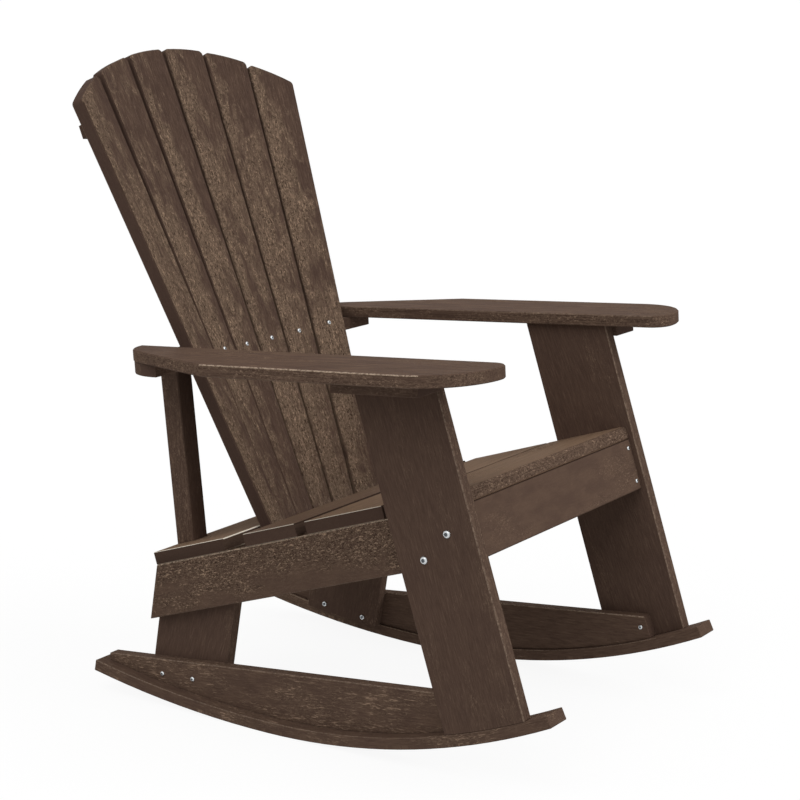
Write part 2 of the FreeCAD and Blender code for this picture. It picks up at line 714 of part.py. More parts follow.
LEG_BOLTS = (("leg_bolt_back", "leg_bolt_down"),
             ("leg_bolt_back + leg_bolt_step", "leg_bolt_down + leg_bolt_drop"))
leg_bolts, leg_nuts = [], []
runner_bolts, runner_nuts = [], []
runner_screws, apron_screws = [], []
for side, sign in SIDES:
    leg, rail = side + "_front_leg", side + "_side_rail"
    for back, down in LEG_BOLTS:
        spot = seat_point(back, "-(%s)" % down)
        leg_bolts.append((from_side("%d * (seat_half_width + board)" % sign, spot, -sign), (leg, rail)))
        leg_nuts.append(from_side("%d * (seat_half_width - board)" % sign, spot, -sign))
    runner, rear_leg = side + "_runner_board", side + "_rear_leg"
    front_bolt = ("runner_bolt_y - %s_bolt_step" % side, "runner_bolt_z - %s_bolt_fall" % side)
    for spot in (("runner_bolt_y", "runner_bolt_z"), front_bolt):
        runner_bolts.append((from_side("%d * seat_half_width" % sign, spot, -sign), (runner, rear_leg)))
        runner_nuts.append(from_side("%d * (seat_half_width - 2 * board)" % sign, spot, -sign))
    inner_face = "%d * (seat_half_width - board)" % sign
    screw = from_side(inner_face, ("runner_screw_y", "runner_screw_z"), sign)
    runner_screws.append((screw, (runner, leg)))
    for down in ("apron_screw_margin", "apron_depth - apron_screw_margin"):
        screw = placement("%d * (seat_half_width - board / 2)" % sign, 0, "-(%s)" % down, roll=-90)
        apron_screws.append((SEAT + " * " + screw, ("front_apron", rail)))

fasten("leg_bolts", leg_bolts, "bolt_radius", "2 * board + nut_height", "bolt_head", "bolt_head_rise")
fasten("runner_bolts", runner_bolts, "runner_bolt_radius", "2 * board + runner_nut_height",
       "runner_bolt_head", "screw_head_rise")
fasten("runner_front_screws", runner_screws, "screw_radius", "runner_screw_length",
       "screw_head", "screw_head_rise")
fasten("apron_screws", apron_screws, "screw_radius", "apron_screw_length",
       "screw_head", "screw_head_rise")


def nuts(name, spots, bolt, radius, height):
    """Hexagonal nuts on the ends of a group of bolts."""
    members = []
    for spot in spots:
        bored = doc.addObject("Part::Cut", "Nut")
        bored.Base = prism("NutBlank", spot, radius, height, 6)
        bored.Tool = hole(spot, bolt, height)
        members.append(bored)
    group(name, members)


nuts("leg_bolt_nuts", leg_nuts, "bolt_radius", "nut_radius", "nut_height")
nuts("runner_bolt_nuts", runner_nuts, "runner_bolt_radius", "runner_nut_radius", "runner_nut_height")

# A screw through each back slat into the cross rail, square to the slat.
back_screws = []
for side, sign in SIDES:
    for slat in SLATS:
        spot = placement(0, 0, "back_screw_rise / cos(%s)" % slat_tilt(slat), roll=-90)
        screw = slat_place(slat, sign) + " * " + spot
        back_screws.append((screw, ("%s_back_slat_%d" % (side, slat + 1), "cross_rail")))
fasten("back_screws", back_screws, "screw_radius", "back_screw_length", "screw_head", "screw_head_rise")

for name, spaces in drilled.items():
    tool = doc.addObject("Part::Compound", name + "_holes")
    tool.Links = spaces
    cut_with(name, tool)

doc.recompute()
faulty = [item.Label for item in doc.Objects if "Invalid" in item.State or "Error" in item.State]
if faulty:
    raise SystemExit("these did not build: %s" % ", ".join(faulty))
os.makedirs("parts", exist_ok=True)
lowest, highest = [], []
for name, piece in pieces.items():
    shape = piece.Shape
    if shape.isNull() or not shape.isValid() or not shape.Solids:
        raise SystemExit("%s is no valid solid" % name)
    shape.exportStep("parts/%s.step" % name)
    box = shape.optimalBoundingBox(False)
    lowest.append((box.XMin, box.YMin, box.ZMin))
    highest.append((box.XMax, box.YMax, box.ZMax))
    print("%-22s %d solids %10.0f mm3" % (name, len(shape.Solids), shape.Volume))
print("box from", [round(min(v), 2) for v in zip(*lowest)], "to", [round(max(v), 2) for v in zip(*highest)])
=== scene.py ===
# %% [markdown]
# # Rocking adirondack chair
# The chair is made of dark brown plastic lumber, screwed and bolted together.
# The measured solids are loaded first and stay where they are. Every board is then
# dressed: a copy of its solid gets soft edges and knows which way its grain runs.
# One lumber finish reads that, so the grain follows each board, as it does on the real one.

# %% Load the frame
import json
import math
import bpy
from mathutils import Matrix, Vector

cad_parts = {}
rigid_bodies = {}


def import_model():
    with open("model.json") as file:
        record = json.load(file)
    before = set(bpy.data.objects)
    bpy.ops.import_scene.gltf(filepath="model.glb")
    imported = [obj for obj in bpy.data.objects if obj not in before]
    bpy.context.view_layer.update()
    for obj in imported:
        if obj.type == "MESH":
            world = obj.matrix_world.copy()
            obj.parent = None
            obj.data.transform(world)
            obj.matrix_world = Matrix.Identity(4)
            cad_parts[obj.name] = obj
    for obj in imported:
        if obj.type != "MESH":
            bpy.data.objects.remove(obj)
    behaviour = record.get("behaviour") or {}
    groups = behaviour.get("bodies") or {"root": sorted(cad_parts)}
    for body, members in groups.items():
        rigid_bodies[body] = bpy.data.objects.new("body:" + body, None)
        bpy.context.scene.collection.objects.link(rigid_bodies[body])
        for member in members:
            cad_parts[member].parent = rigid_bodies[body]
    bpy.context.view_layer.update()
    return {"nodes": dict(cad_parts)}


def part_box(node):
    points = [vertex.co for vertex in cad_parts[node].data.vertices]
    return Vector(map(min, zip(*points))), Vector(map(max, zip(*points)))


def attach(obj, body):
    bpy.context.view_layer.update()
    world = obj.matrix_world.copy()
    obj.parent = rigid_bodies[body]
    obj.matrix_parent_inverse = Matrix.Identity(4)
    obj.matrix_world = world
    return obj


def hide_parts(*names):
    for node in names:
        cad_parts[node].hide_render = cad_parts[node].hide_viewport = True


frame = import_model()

from types import SimpleNamespace

import bmesh
import bpy
from mathutils import Matrix, Vector

nodes = frame["nodes"]
scene = bpy.context.scene

# %% [markdown]
# ## The camera
# The photograph looks down a little on the chair's front and its right side, from about
# three and a half metres, with a long lens. The place and the turn were fitted to the
# corners of the boards, so the chair's outline falls where it does in the photograph.

# %% Camera
CAMERA_PLACE = (-2.8646, -1.9412, 1.2495)
LOOKS_DOWN = 11.930
LOOKS_TO = -56.297
LENS = 93.6
SENSOR_WIDTH = 36
camera = bpy.data.objects.new("camera", bpy.data.cameras.new("camera"))
camera.data.sensor_width = SENSOR_WIDTH
camera.data.lens = LENS
camera.location = CAMERA_PLACE
camera.rotation_euler = (math.radians(90 - LOOKS_DOWN), 0, math.radians(LOOKS_TO))
scene.collection.objects.link(camera)
scene.camera = camera
print("camera to the origin:", round(Vector(CAMERA_PLACE).length, 2), "m")

# %% [markdown]
# ## Lamps
# Tops are lightest on the chair, fronts a little darker and its right side much darker,
# and every shadow is soft. Softboxes beside the chair could do that, but the floor would
# be lit unevenly. Three broad lamps from far away light floor and chair alike: one high in
# front, one high on the right, and a faint one overhead.

# %% Lamps
def lamp(name, strength, angle, toward):
    """A broad, far lamp; toward is the direction from the chair to the lamp."""
    data = bpy.data.lights.new(name, "SUN")
    data.energy = strength * math.pi
    data.angle = math.radians(angle)
    item = bpy.data.objects.new(name, data)
    item.rotation_euler = Vector(toward).to_track_quat("Z", "Y").to_euler()
    scene.collection.objects.link(item)


lamp("front_light", 0.28, 40, (0.25, -0.75, 0.62))
lamp("top_light", 0.06, 60, (-0.1, 0.1, 1.0))
lamp("right_light", 0.24, 50, (-0.62, -0.10, 0.78))
scene.view_settings.view_transform = "Standard"

# %% [markdown]
# ## Shader nodes in few words
# Finishes are drawn as node trees. Written out, each node takes four or five lines, so
# these helpers add a node and join its inputs in one call.

# %% Node helpers
def new_material(name):
    material = bpy.data.materials.new(name)
    material.use_nodes = True
    material.node_tree.nodes.clear()
    return material, material.node_tree


def node(tree, kind, inputs=None, **settings):
    """Adds a node. An input gets a link where it is given a socket, and a value otherwise."""
    item = tree.nodes.new("ShaderNode" + kind)
    for name, value in settings.items():
        setattr(item, name, value)
    for name, value in (inputs or {}).items():
        socket = item.inputs[name]
        if isinstance(value, bpy.types.NodeSocket):
            tree.links.new(value, socket)
        else:
            socket.default_value = value
    return item


def math_node(tree, operation, first, second=0.0, clamp=False):
    inputs = {0: first, 1: second}
    return node(tree, "Math", inputs, operation=operation, use_clamp=clamp).outputs[0]


def shader_mix(tree, share, first, second):
    """A mix of two shaders."""
    return node(tree, "MixShader", {0: share, 1: first, 2: second}).outputs[0]


print("node helpers are ready")

# %% [markdown]
# ## White surroundings
# The chair stands before plain white. A world as bright as that white would flood the
# chair from all sides and flatten it. So the world is white only where it is seen, itself
# or mirrored in the steel, and as a light it is much weaker.

# %% World
WORLD_AS_LIGHT = 0.37
WORLD_AS_SEEN = 1.0


def seen_directly(tree):
    """1 for what the camera sees, itself or in a mirror-like surface."""
    path = node(tree, "LightPath")
    seen = path.outputs["Is Camera Ray"]
    for name in ("Is Glossy Ray", "Is Transmission Ray"):
        seen = math_node(tree, "MAXIMUM", seen, path.outputs[name])
    return seen


world = bpy.data.worlds.new("studio")
scene.world = world
world.use_nodes = True
tree = world.node_tree
level = node(tree, "MapRange", {"Value": seen_directly(tree), "To Min": WORLD_AS_LIGHT,
                                "To Max": WORLD_AS_SEEN})
background = tree.nodes["Background"]
background.inputs["Color"].default_value = (1, 1, 1, 1)
tree.links.new(level.outputs[0], background.inputs["Strength"])
print("world:", world.name, "as light", WORLD_AS_LIGHT, "as seen", WORLD_AS_SEEN)

# %% [markdown]
# ## Floor
# A studio floor is a pale sheet that runs into the white behind it. A small sheet would
# show its edge against the white, so this one reaches far past what the camera sees.

# %% Floor
FLOOR_REACH = 120
floor_mesh = bpy.data.meshes.new("floor")
bm = bmesh.new()
bmesh.ops.create_grid(bm, x_segments=1, y_segments=1, size=FLOOR_REACH)
bm.to_mesh(floor_mesh)
bm.free()
floor = bpy.data.objects.new("floor", floor_mesh)
scene.collection.objects.link(floor)
print("floor:", tuple(round(v, 2) for v in floor.dimensions))

# %% [markdown]
# The floor takes the chair's shadow. To the camera it is nearly white: part of it takes
# shadows as any sheet does, and part of it glows evenly. To the chair it gives back less
# light, as the small sheet under a real product does.

# %% Floor finish
SEEN_GREY, SEEN_GLOW, SEEN_GLOW_SHARE = 0.90, 1.05, 0.87
FELT_GREY, FELT_GLOW, FELT_GLOW_SHARE = 0.50, 0.46, 0.60


def sheet(tree, grey, glow, glow_share):
    """A matt sheet that partly glows."""
    matt = node(tree, "BsdfDiffuse", {"Color": (grey, grey, grey, 1)}).outputs[0]
    even = node(tree, "Emission", {"Strength": glow}).outputs[0]
    return shader_mix(tree, glow_share, matt, even)


pale, tree = new_material("pale_floor")
felt = sheet(tree, FELT_GREY, FELT_GLOW, FELT_GLOW_SHARE)
seen = sheet(tree, SEEN_GREY, SEEN_GLOW, SEEN_GLOW_SHARE)
node(tree, "OutputMaterial", {"Surface": shader_mix(tree, seen_directly(tree), felt, seen)})
floor.data.materials.append(pale)
print("floor finish:", pale.name)

# %% [markdown]
# ## Plastic lumber
# The boards are extruded from recycled plastic and pressed with a wood grain: fine raised
# streaks along the board, and zones where the pressing is deep beside zones where it is
# nearly smooth. Raised grain is lighter, partly from rubbing and partly as painted highlight
# where light catches the ridges. A photograph of wood could be wrapped on, but it would
# stretch at the edges. Noise in the board's own measures runs through it, so faces, edges
# and cut ends all agree.

# %% Pattern helpers
def ramp(tree, value, low, high, to_low=0.0, to_high=1.0):
    """Turns a range of values smoothly into another."""
    inputs = {"Value": value, "From Min": low, "From Max": high,
              "To Min": to_low, "To Max": to_high}
    return node(tree, "MapRange", inputs, interpolation_type="SMOOTHSTEP").outputs[0]


def noise(tree, grain, along, across, detail=3.0, rough=0.55, wander=0.0):
    """Noise with so many waves per metre along the board and across it."""
    scale = (along, across, across)
    mapped = node(tree, "Mapping", {"Vector": grain, "Scale": scale})
    inputs = {"Vector": mapped.outputs[0], "Scale": 1.0, "Detail": detail,
              "Roughness": rough, "Distortion": wander}
    return node(tree, "TexNoise", inputs).outputs["Fac"]


def product(tree, *factors):
    """Multiplies any number of values."""
    value = factors[0]
    for factor in factors[1:]:
        value = math_node(tree, "MULTIPLY", value, factor)
    return value


def total(tree, *terms):
    """Adds any number of values."""
    value = terms[0]
    for term in terms[1:]:
        value = math_node(tree, "ADD", value, term)
    return value


print("pattern helpers are ready")

# %% [markdown]
# The plastic is one dark brown. Lighter colour is partly what rubbing leaves and partly
# painted highlight: the raised grain, the seat where people sit, and most of all the sharp
# edges of cut ends, whose light tips are painted highlight. The colours are written as a
# picture editor names them and made linear for the renderer.

# %% Lumber colours
def linear(part):
    """One part of a colour, from 0 to 255, as the renderer counts it."""
    part /= 255
    return part / 12.92 if part < 0.04045 else ((part + 0.055) / 1.055) ** 2.4


def srgb(*parts):
    """A colour as a picture editor names it, made linear."""
    return tuple(linear(part) for part in parts) + (1,)


def blend(tree, share, first, second):
    """A mix of two colours. A Mix node keeps its colour sockets at 6 and 7, and the mix at 2."""
    return node(tree, "Mix", {0: share, 6: first, 7: second}, data_type="RGBA").outputs[2]


# DEEP and DARK are the plastic's darker browns; they also paint shade on sides, rims and in gaps
DEEP = srgb(62, 47, 40)
DARK = srgb(90, 71, 62)
BODY = srgb(107, 86, 73)
PRESSED = srgb(135, 113, 95)
SAT_ON = srgb(141, 115, 93)
# raised grain: lighter partly from rubbing and partly as painted highlight
RAISED = srgb(200, 169, 142)
# rim dots: partly rubbing, partly painted highlight
RUB_AND_HIGHLIGHT = srgb(236, 212, 186)
# painted highlight on the rounded top edges of cut ends
CREST_HIGHLIGHT = srgb(255, 244, 226)
print("lumber body:", tuple(round(part, 3) for part in BODY))

# %% [markdown]
# Each dressed board stores where every corner lies in it and which kind each face is. A
# face is broad, a side, a rim between the two, an end, or the tip that rounds off an end.
# The finish reads all of that back here.

# %% What the boards stored
FACE_KINDS = ("side", "rim", "tip", "end")


def board_places(tree):
    """The grain place, the shares of the board's width and length, and the kinds of face."""
    grain = node(tree, "Attribute", attribute_name="grain").outputs["Vector"]
    read = {name: node(tree, "Attribute", attribute_name=name).outputs["Fac"]
            for name in ("half_width", "run") + FACE_KINDS}
    across = node(tree, "SeparateXYZ", {0: grain}).outputs["Y"]
    read["share"] = math_node(tree, "DIVIDE", across, read["half_width"])
    return grain, read


print("stored on each board:", ("grain", "half_width", "run") + FACE_KINDS)

# %% [markdown]
# A pressing plate wears unevenly, so a board has zones with a deep pattern and nearly
# smooth ones. Long patches with ragged borders make them. They lean towards one edge on
# the back slats, where the paler deep edge and the darker smooth one also paint the shading
# across each slat, and to the upper edge on the rails, and they thin out at the slats' tops.

# %% Pressed zones
# waves per metre along and across, detail, roughness and wander
PATCH = (4, 12, 4, 0.6, 0.5)
BLOTCH = (24, 52, 3, 0.65, 0.8)
TOP_FROM, TOP_TO = 0.45, 1.0
ZONE_BELOW, ZONE_ABOVE = 0.13, 0.15
LEAN_REACH = 0.5
NOISE_MIDDLE = 0.5


def pressed_zone(tree, grain, read, want):
    """1 where the pattern is pressed deep, 0 where the board is nearly smooth."""
    edges = total(tree, read["side"], read["rim"])
    value = total(tree, noise(tree, grain, *PATCH),
                  product(tree, noise(tree, grain, *BLOTCH), want.blotches),
                  # on the back slats this lean also paints the shading across each slat, one edge
                  # lighter
                  product(tree, read["share"], -LEAN_REACH * want.leaning),
                  product(tree, ramp(tree, read["run"], TOP_FROM, TOP_TO), -want.top_smooth),
                  product(tree, edges, want.side_zone))
    middle = want.smooth_share + NOISE_MIDDLE * want.blotches
    return ramp(tree, value, middle - ZONE_BELOW, middle + ZONE_ABOVE)


print("patches per metre along and across:", PATCH[:2], "blotches:", BLOTCH[:2])

# %% [markdown]
# Five noises draw the pattern itself. Streaks and flecks are the raised grain, clumps
# crowd the flecks, hairs are the fine lines along the board, and clouds are the slow
# changes of the brown. Each has fewer waves per metre along the board than across it, so
# its marks are long the way the grain runs.

# %% Grain patterns
STREAK_ACROSS = 330
STREAK_SHAPE = (3, 0.6, 1.2)
HAIR_ACROSS = 400
HAIR_SHAPE = (3, 0.6, 0.4)
SPECK_STRETCH = 1.7
SPECK_SHAPE = (3, 0.70, 1.0)
CLOUD = (22, 48, 3, 0.5, 0.3)
CLUMP = (34, 70, 2, 0.5, 0.6)


def grain_marks(tree, grain, want):
    """The noises that the pattern is drawn with."""
    speck_across = SPECK_STRETCH * want.speck_waves
    return SimpleNamespace(
        streak=noise(tree, grain, want.streak_waves, STREAK_ACROSS, *STREAK_SHAPE),
        speck=noise(tree, grain, want.speck_waves, speck_across, *SPECK_SHAPE),
        hair=noise(tree, grain, want.hair_waves, HAIR_ACROSS, *HAIR_SHAPE),
        cloud=noise(tree, grain, *CLOUD), clump=noise(tree, grain, *CLUMP))


print("clouds per metre along and across:", CLOUD[:2], "clumps:", CLUMP[:2])

# %% [markdown]
# The ground colour comes first. Clouds move it between two browns, the seat's broad faces
# are paler from use, less so on the narrow slat, which is painted shade, deeply pressed zones
# are paler too, and hairs are drawn over all.

# %% Ground colour
CLOUD_LOW, CLOUD_HIGH = 0.3, 0.7
DARK_HAIR = (0.54, 0.36)
LIGHT_HAIR = (0.56, 0.72)
LIGHT_HAIR_SHARE = 0.3


def ground(tree, want, read, zone, marks):
    """The board's colour under its raised pattern."""
    low, high = max(want.body - want.clouds, 0), min(want.body + want.clouds, 1)
    share = ramp(tree, marks.cloud, CLOUD_LOW, CLOUD_HIGH, low, high)
    tone = blend(tree, share, DARK, BODY)
    edges = total(tree, read["side"], read["rim"], read["end"])
    broad = math_node(tree, "SUBTRACT", 1.0, edges, clamp=True)
    # broad faces go paler; less on the narrow seat slat, where the smaller share is painted shade
    tone = blend(tree, product(tree, broad, want.rubbed), tone, SAT_ON)
    tone = blend(tree, product(tree, zone, want.pressed), tone, PRESSED)
    dark_hairs = product(tree, ramp(tree, marks.hair, *DARK_HAIR), want.hairs)
    tone = blend(tree, dark_hairs, tone, DEEP)
    lit = want.hairs * LIGHT_HAIR_SHARE
    light_hairs = product(tree, ramp(tree, marks.hair, *LIGHT_HAIR), lit)
    return blend(tree, light_hairs, tone, RAISED)


print("hairs: dark", DARK_HAIR, "light", LIGHT_HAIR)

# %% [markdown]
# The raised pattern is light on its ridges, partly where hands and clothes rub it and partly
# as painted highlight where light catches them, and dark in its pits. It shows fully in the
# pressed zones, a tenth of it in the smooth ones, and hardly at all on sawn ends and on
# plain sides.

# %% Raised pattern
SMOOTH_ZONE_SHOWS = 0.10
PIT = (0.49, 0.36)
PIT_STRENGTH = 0.95
FLECK = (0.54, 0.68)
# from, to, and what these become
CROWD = (0.34, 0.60, 0.35, 1.0)
END_CUT = 1.4


def raised_pattern(tree, want, read, zone, marks, tone):
    """Dark pits and light flecks over the ground colour."""
    end_cut = product(tree, read["end"], want.end_dark * END_CUT)
    side_cut = product(tree, read["side"], max(want.side_dark, want.side_deep))
    shown = product(tree, ramp(tree, zone, 0.0, 1.0, SMOOTH_ZONE_SHOWS, 1.0),
                    math_node(tree, "SUBTRACT", 1.0, end_cut, clamp=True),
                    math_node(tree, "SUBTRACT", 1.0, side_cut))
    pits = product(tree, ramp(tree, marks.speck, *PIT), shown, PIT_STRENGTH * want.specks)
    tone = blend(tree, pits, tone, DEEP)
    # light streaks and flecks: rubbing and painted highlight on the ridges
    streaks = product(tree, ramp(tree, marks.streak, *FLECK), want.streaks)
    crowd = ramp(tree, marks.clump, *CROWD)
    flecks = product(tree, ramp(tree, marks.speck, *FLECK), crowd, want.specks)
    raised = total(tree, streaks, flecks)
    return blend(tree, math_node(tree, "MULTIPLY", raised, shown, clamp=True), tone, RAISED)


print("flecks show from", FLECK[0], "pits under", PIT[0])

# %% [markdown]
# Edges tell most about a board. Sides are painted darker, as painted shade in the gaps and on
# shaded sides, and sawn ends are darker than the broad faces. Rims get light dots, partly from
# rubbing and partly as painted highlight, or painted shade along gaps and under the seat's
# nose, and the rounded tips of cut ends are lightest, a painted highlight. Towards the slats'
# feet the painted shade of the rims fades, and so does that of the far slats' sides.

# %% Edge colours
DOTS = (0.42, 0.54, 0.20, 1.0)
SIDE_FROM, SIDE_TO = -0.5, 0.4
SHADE_FROM, SHADE_TO = -0.4, 0.7


def edge_colours(tree, want, read, marks, tone):
    """Painted shade on sides and rims, rim dots of rubbing and painted highlight, darker ends, and
    painted highlight on tips, over the pattern.
    """
    # painted shade on sides, fading towards the slats' feet where asked
    low_side = want.side_dark * want.side_low
    sides = ramp(tree, read["run"], SIDE_FROM, SIDE_TO, low_side, want.side_dark)
    tone = blend(tree, product(tree, read["side"], sides), tone, DARK)
    tone = blend(tree, product(tree, read["side"], want.side_deep), tone, DEEP)
    # light rim dots: rubbing and painted highlight
    dots = ramp(tree, marks.speck, *DOTS)
    tone = blend(tree, product(tree, read["rim"], dots, want.rim_light), tone, RUB_AND_HIGHLIGHT)
    # painted shade on rims along gaps and under overhangs, fading towards the slats' feet
    low_rim = want.rim_dark * want.rim_low
    shade = ramp(tree, read["run"], SHADE_FROM, SHADE_TO, low_rim, want.rim_dark)
    tone = blend(tree, product(tree, read["rim"], shade), tone, DEEP)
    tone = blend(tree, product(tree, read["end"], want.end_dark), tone, DARK)
    tone = blend(tree, product(tree, read["end"], want.end_deep), tone, DEEP)
    # painted highlight on the rounded tips of cut ends
    return blend(tree, product(tree, read["tip"], want.tip_light), tone, CREST_HIGHLIGHT)


print("rim dots from", DOTS[0], "to", DOTS[1])

# %% [markdown]
# The pattern is raised grain, and modelling each streak would take millions of faces, so a
# bump does it, flatter in the smooth zones. The plastic is matt: it is rough, and it
# mirrors next to nothing. The usual amounts stand in one table, and a kind of board names
# only those in which it differs.

# %% Lumber relief
STREAK_HEIGHT, STREAK_LEAST, SPECK_HEIGHT, HAIR_HEIGHT = 0.6, 0.15, 0.8, 0.5
SMOOTH_HEIGHT = 0.35
USUAL = dict(
    hairs=0.25, body=0.5, clouds=0.3, pressed=0.3, rubbed=0.0,
    leaning=0.0, smooth_share=0.5, blotches=0.3, top_smooth=0.0, side_zone=0.0,
    side_dark=0.0, side_low=1.0, side_deep=0.0, rim_light=0.0, rim_dark=0.0, rim_low=1.0,
    tip_light=0.0, end_dark=0.6, end_deep=0.0, streak_waves=48, speck_waves=190, hair_waves=42)


def relief(tree, depth, want, zone, marks):
    """The bumped normal of the pressed pattern."""
    height = total(tree, product(tree, marks.streak, STREAK_HEIGHT * want.streaks + STREAK_LEAST),
                   product(tree, marks.speck, SPECK_HEIGHT * want.specks))
    height = product(tree, height, ramp(tree, zone, 0.0, 1.0, SMOOTH_HEIGHT, 1.0))
    height = total(tree, height, product(tree, marks.hair, HAIR_HEIGHT * want.hairs))
    return node(tree, "Bump", {"Height": height, "Distance": depth, "Strength": 1.0}).outputs[0]


print("usual amounts:", len(USUAL))

# %% [markdown]
# A finish puts these steps together: where the board is pressed deep, the marks, the ground
# colour, the raised pattern over it, the edges over that, and the relief. Each step takes
# the colour of the step before, as coats of paint do, which keeps every step short.

# %% Lumber finish
ROUGH_SMOOTH, ROUGH_PRESSED, ROUGH_CLOUDS = 0.68, 0.78, 0.08
PLASTIC_IOR = 1.47
PLASTIC_MIRROR = 0.03


def lumber(name, depth, streaks, specks, **amounts):
    """Pressed plastic lumber. depth in metres; waves per metre; the other amounts are shares."""
    want = SimpleNamespace(**{**USUAL, **amounts, "streaks": streaks, "specks": specks})
    material, tree = new_material(name)
    grain, read = board_places(tree)
    zone = pressed_zone(tree, grain, read, want)
    marks = grain_marks(tree, grain, want)
    tone = ground(tree, want, read, zone, marks)
    tone = raised_pattern(tree, want, read, zone, marks, tone)
    tone = edge_colours(tree, want, read, marks, tone)
    rough = total(tree, ramp(tree, zone, 0.0, 1.0, ROUGH_SMOOTH, ROUGH_PRESSED),
                  product(tree, marks.cloud, ROUGH_CLOUDS))
    shader = node(tree, "BsdfPrincipled", {
        "Base Color": tone, "Roughness": rough, "Normal": relief(tree, depth, want, zone, marks),
        "IOR": PLASTIC_IOR, "Specular IOR Level": PLASTIC_MIRROR})
    node(tree, "OutputMaterial", {"Surface": shader.outputs[0]})
    return material


print("plastic: roughness", ROUGH_SMOOTH, "to", ROUGH_PRESSED)

# %% [markdown]
# ## A finish for each kind of board
# The boards differ, so the one recipe is used with several amounts. The rails are pressed
# deep along their upper edge, and the back slats are deep along one edge and smooth along
# the other, which also paints the shading across each slat. The legs, the arms and the
# apron are nearly smooth. The upper rims of rails and arms carry painted highlight, and the
# apron's top rim painted shadow under the seat's nose.

# %% Finishes of the frame and the back
# back slats: the lean also paints the shading across each slat, and the dark sides and rims are
# painted shade in the gaps
SLAT = dict(hairs=0.34, body=0.25, pressed=1.0, leaning=0.30, blotches=0.75, top_smooth=0.14,
            side_dark=0.8, rim_dark=0.4, rim_low=0.0)
FINISHES = {
    "slat": lumber("lumber_back", 0.0040, 0.40, 1.0, smooth_share=0.445, side_zone=-0.6, **SLAT),
    # far slats: the painted shade of their sides fades towards the feet
    "far_slat": lumber("lumber_back_far", 0.0040, 0.40, 1.0, smooth_share=0.465, side_low=0.0,
                       **SLAT),
    # the rails' upper rims get light dots: rubbing and painted highlight
    "rail": lumber("lumber_rails", 0.0040, 0.80, 1.0, hairs=0.12, body=0.90, pressed=0.2,
                   leaning=-0.38, smooth_share=0.38, rim_light=0.8,
                   streak_waves=110, speck_waves=260),
    "leg": lumber("lumber_legs", 0.0022, 0.15, 0.25, hairs=0.22, body=0.35, clouds=0.12,
                  pressed=0.1, smooth_share=0.60, side_zone=0.5, rim_light=0.15),
    # the arms' outer upper rim gets a light line: wear where a hand slides, and painted highlight
    "arm": lumber("lumber_arms", 0.0016, 0.15, 0.50, hairs=0.42, body=0.75, clouds=0.25,
                  pressed=0.2, smooth_share=0.60, side_zone=0.20, rim_light=0.55,
                  end_dark=0.0, hair_waves=12),
    # the apron's dark top rim is painted shadow under the seat's nose
    "apron": lumber("lumber_apron", 0.0014, 0.05, 0.25, hairs=0.06, body=0.70, pressed=0.1,
                    smooth_share=0.54, rim_dark=0.8),
}
print("finishes of the frame and the back:", sorted(FINISHES))

# %% [markdown]
# The seat boards are the palest, because people sit on them, and their cut ends show a
# light rounded tip, a painted highlight, over a dark end; their dark sides and rims are painted
# shade in the gaps. The narrow slat is painted darker than the wide one, as painted shade.
# The runners carry streaks, which are fainter on the left one, and the left ones are painted
# lighter, as painted light on their inner faces.

# %% Finishes of the seat and the runners
SEAT = dict(hairs=0.30, pressed=0.3, side_deep=0.6, rim_dark=1.0, tip_light=1.0, hair_waves=16)
FINISHES.update({
    "seat": lumber("lumber_seat", 0.0030, 0.15, 0.25, body=1.0, rubbed=1.0, end_deep=0.45,
                   **SEAT),
    # the narrow slat is painted darker than the wide one: painted shade
    "low": lumber("lumber_seat_narrow_shaded", 0.0030, 0.15, 0.25, body=0.75, rubbed=0.35, end_deep=0.3,
                  **SEAT),
    "nose": lumber("lumber_seat_nose", 0.0030, 0.10, 0.75, body=0.8, pressed=0.2, rubbed=0.9,
                   smooth_share=0.62, side_zone=0.5, tip_light=0.3, hair_waves=16),
    "runner": lumber("lumber_runners", 0.0035, 0.60, 0.30, hairs=0.2, body=0.65, pressed=0.15,
                     rim_light=0.15),
    # the left runners are painted lighter: painted light on their inner faces
    "fine": lumber("lumber_runners_left_lit", 0.0025, 0.30, 0.30, hairs=0.3, body=0.85, clouds=0.15,
                   smooth_share=0.57, rim_light=0.3),
})
print("lumber finishes in all:", len(FINISHES))

# %% [markdown]
# ## Dressing a board
# A sawn and moulded plastic board has no knife edges: a router takes them off. The solid
# has its chamfers already, but their corners are still sharp. A copy is merged, its flat
# faces are joined, and every sharp edge is rounded with a bevel, as far as the short edges
# beside it leave room. A bevel modifier would round them too, but only after the kinds of
# face are stored, so it is done on the mesh.

# %% Soft edges
CHAMFER_EDGE = 0.0006
SHORTEST_EDGE = 0.0045
STRAIGHT_BACK = 180
SQUARE_FROM = 62
CHAMFER_FROM = 25
FLAT_WITHIN = math.radians(0.4)
SAME_SPOT = 1e-6


def merged_copy(name):
    """A bmesh copy of a solid with its loose triangles joined into whole faces."""
    bm = bmesh.new()
    bm.from_mesh(nodes[name].data)
    bmesh.ops.remove_doubles(bm, verts=bm.verts, dist=SAME_SPOT)
    bmesh.ops.dissolve_limit(bm, angle_limit=FLAT_WITHIN, verts=bm.verts, edges=bm.edges)
    return bm


def round_off(bm, edges, offset, segments=2):
    """Rounds edges by the offset, or by less where short edges leave no room for it."""
    bmesh.ops.bevel(bm, geom=edges, offset=offset, offset_type="OFFSET", affect="EDGES",
                    segments=segments, profile=0.5, material=-1, clamp_overlap=True)


